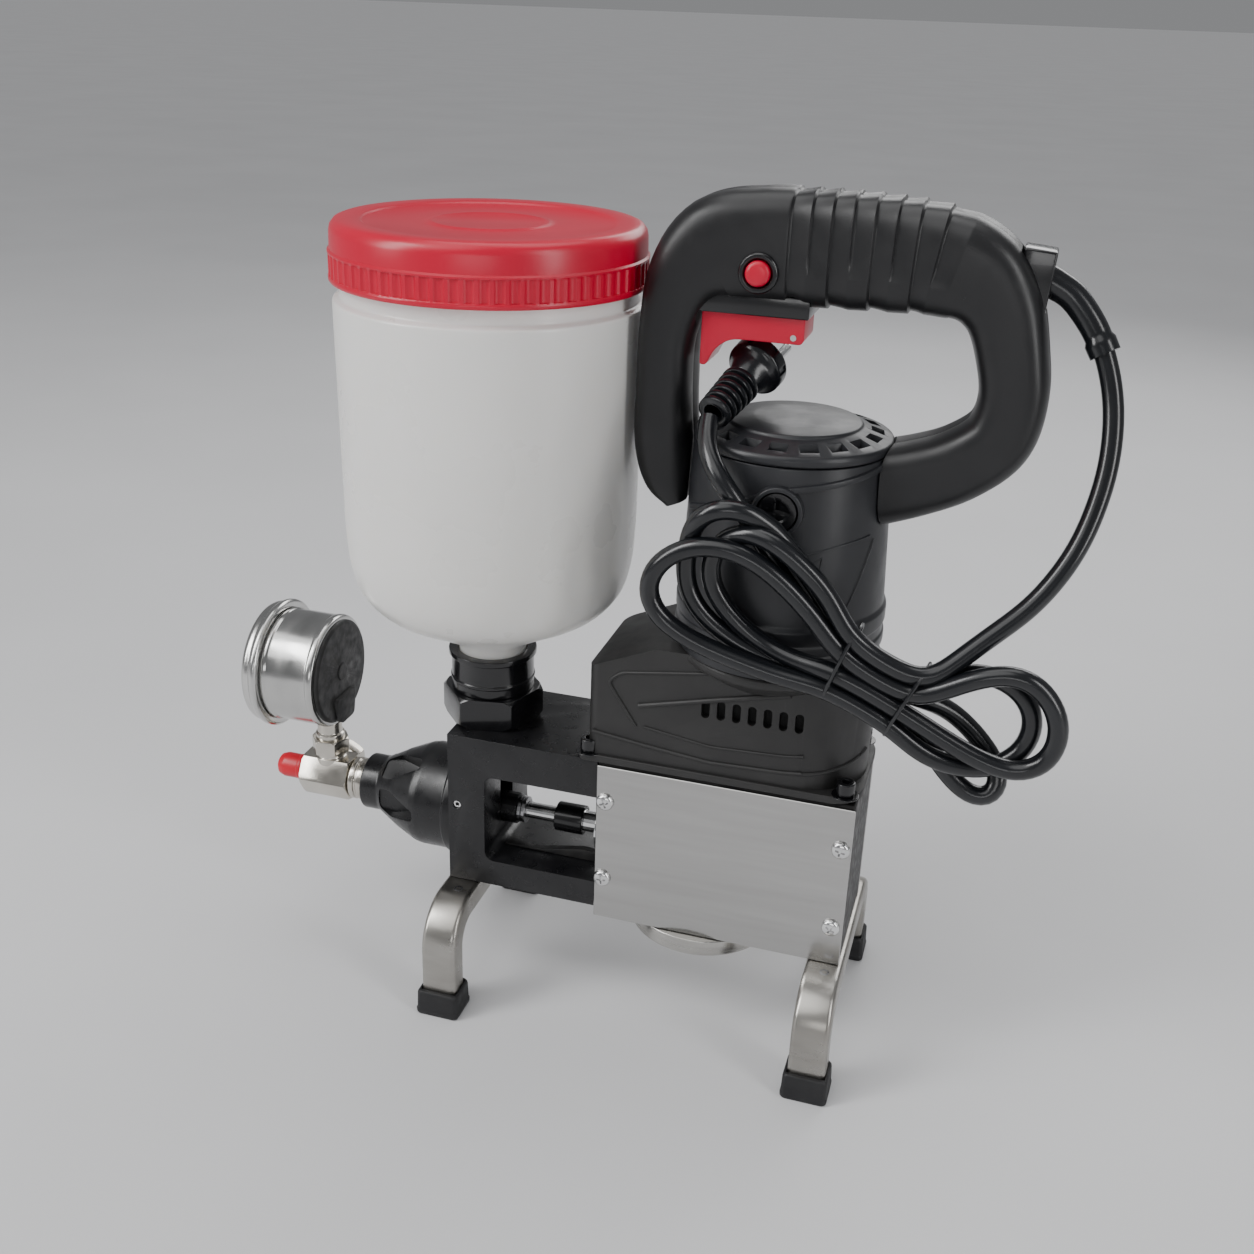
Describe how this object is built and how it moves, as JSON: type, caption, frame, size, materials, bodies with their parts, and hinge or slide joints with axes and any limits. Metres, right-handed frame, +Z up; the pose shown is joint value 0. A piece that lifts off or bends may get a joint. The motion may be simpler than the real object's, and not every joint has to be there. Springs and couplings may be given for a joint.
{
  "type": "electric resin injection pump",
  "caption": "Portable electric plunger pump for injection resin, with hopper, pressure gauge, crank drive, drill-type motor and corded D handle.",
  "frame": {"origin": "on the floor under the middle of the object's box, cord left out", "axes": "+X towards the cord end of the handle, +Y towards the back, +Z up"},
  "size_m": [0.3998, 0.1412, 0.4058],
  "materials": {
    "black_paint": "satin",
    "stainless": "polished",
    "brushed_stainless": "brushed",
    "rubber": "matte",
    "charcoal_plastic": "fine grain",
    "motor_plastic": "satin",
    "steel": "ground",
    "zinc": "bright",
    "copper": "wound and varnished",
    "gloss_black": "glossy",
    "carbon": "matte",
    "handle_plastic": "satin",
    "orange_plastic": "satin",
    "red_plastic": "glossy",
    "red_rubber": "satin",
    "cord_rubber": "glossy",
    "hdpe": "translucent satin",
    "white_rubber": "satin",
    "white_enamel": "satin",
    "clear_lens": "clear",
    "nickel": "satin nickel plate",
    "brass": "turned"
  },
  "bodies": {
    "frame": {"pump_block": "black_paint", "crank_housing": "black_paint", "outlet_cone": "black_paint", "gland_nut": "black_paint", "front_cover_plate": "stainless", "rear_cover_plate": "stainless", "bearing_cover": "stainless", "gauge_case": "stainless", "gauge_bezel": "stainless", "left_leg_arch": "brushed_stainless", "right_leg_arch": "brushed_stainless", "left_front_foot": "rubber", "left_rear_foot": "rubber", "right_front_foot": "rubber", "right_rear_foot": "rubber", "gear_case": "charcoal_plastic", "motor_housing": "motor_plastic", "motor_top_cap": "motor_plastic", "field_stator": "steel", "packing_ring": "steel", "crank_lower_bearing": "steel", "crank_upper_bearing": "steel", "motor_lower_bearing": "steel", "motor_upper_bearing": "steel", "guide_bush": "zinc", "hopper_fitting": "gloss_black", "switch_shroud": "gloss_black", "front_brush_cap": "gloss_black", "rear_brush_cap": "gloss_black", "front_carbon_brush": "carbon", "rear_carbon_brush": "carbon", "handle_front_shell": "handle_plastic", "handle_rear_shell": "handle_plastic", "switch_body": "orange_plastic", "strain_relief": "cord_rubber", "cord_upper": "cord_rubber", "cord_hank": "cord_rubber", "cord_lower": "cord_rubber", "plug": "cord_rubber", "hopper": "hdpe", "gauge_dial": "white_enamel", "gauge_lens": "clear_lens", "outlet_collar": "nickel", "tee_body": "nickel", "gauge_adapter": "nickel", "outlet_nipple": "brass"},
    "crank": {"crank_shaft": "steel", "crank_gear": "steel"},
    "layshaft": {"layshaft": "steel"},
    "armature": {"armature": "copper", "cooling_fan": "gloss_black"},
    "rod": {"connecting_rod": "steel"},
    "plunger": {"plunger": "zinc", "crosshead": "zinc"},
    "trigger": {"trigger": "red_plastic"},
    "lock_button": {"lock_button": "red_plastic"},
    "needle": {"gauge_needle": "gloss_black"},
    "seal": {"lid_seal": "white_rubber"},
    "lid": {"lid": "red_plastic"},
    "cap": {"red_cap": "red_rubber"}
  },
  "joints": [
    {"name": "armature_spin", "type": "hinge", "parent": "frame", "child": "armature", "pos_m": [0.0795, 0, 0.24], "axis": [0, 0, 1], "continuous": true},
    {"name": "layshaft_spin", "type": "hinge", "parent": "frame", "child": "layshaft", "pos_m": [0.07053, 0.01295, 0.16], "axis": [0, 0, 1], "continuous": true},
    {"name": "crank_spin", "type": "hinge", "parent": "frame", "child": "crank", "pos_m": [0.0525, 0, 0.1], "axis": [0, 0, 1], "continuous": true},
    {"name": "rod_swing", "type": "hinge", "parent": "crank", "child": "rod", "pos_m": [0.0565, 0, 0.088], "axis": [0, 0, 1], "continuous": true},
    {"name": "plunger_slide", "type": "slide", "parent": "frame", "child": "plunger", "axis": [-1, 0, 0], "range_m": [0, 0.008]},
    {"name": "trigger_pull", "type": "slide", "parent": "frame", "child": "trigger", "axis": [0, 0, 1], "range_m": [0, 0.006], "stiffness_N_per_m": 400, "springref_m": -0.003},
    {"name": "lock_press", "type": "slide", "parent": "frame", "child": "lock_button", "axis": [0, 1, 0], "range_m": [0, 0.004], "stiffness_N_per_m": 300, "springref_m": -0.001},
    {"name": "needle_turn", "type": "hinge", "parent": "frame", "child": "needle", "pos_m": [-0.1785, 0, 0.1496], "axis": [1, 0, 0], "range_deg": [0, 270], "stiffness_Nm_per_rad": 0.0005},
    {"name": "lid_lift", "type": "slide", "parent": "frame", "child": "seal", "axis": [0, 0, 1], "range_m": [0, 0.0121]},
    {"name": "lid_turn", "type": "hinge", "parent": "seal", "child": "lid", "pos_m": [-0.0615, 0, 0.37], "axis": [0, 0, 1], "range_deg": [0, 540]},
    {"name": "cap_pull", "type": "slide", "parent": "frame", "child": "cap", "axis": [-1, 0, 0], "range_m": [0, 0.012]}
  ],
  "couplings": [
    {"joint": "layshaft_spin", "follows": "armature_spin", "ratio": -0.2963},
    {"joint": "crank_spin", "follows": "armature_spin", "ratio": 0.095238},
    {"joint": "rod_swing", "follows": "armature_spin", "ratio": -0.095238},
    {"joint": "lid_lift", "follows": "lid_turn", "m_per_rad": 0.0012732}
  ]
}
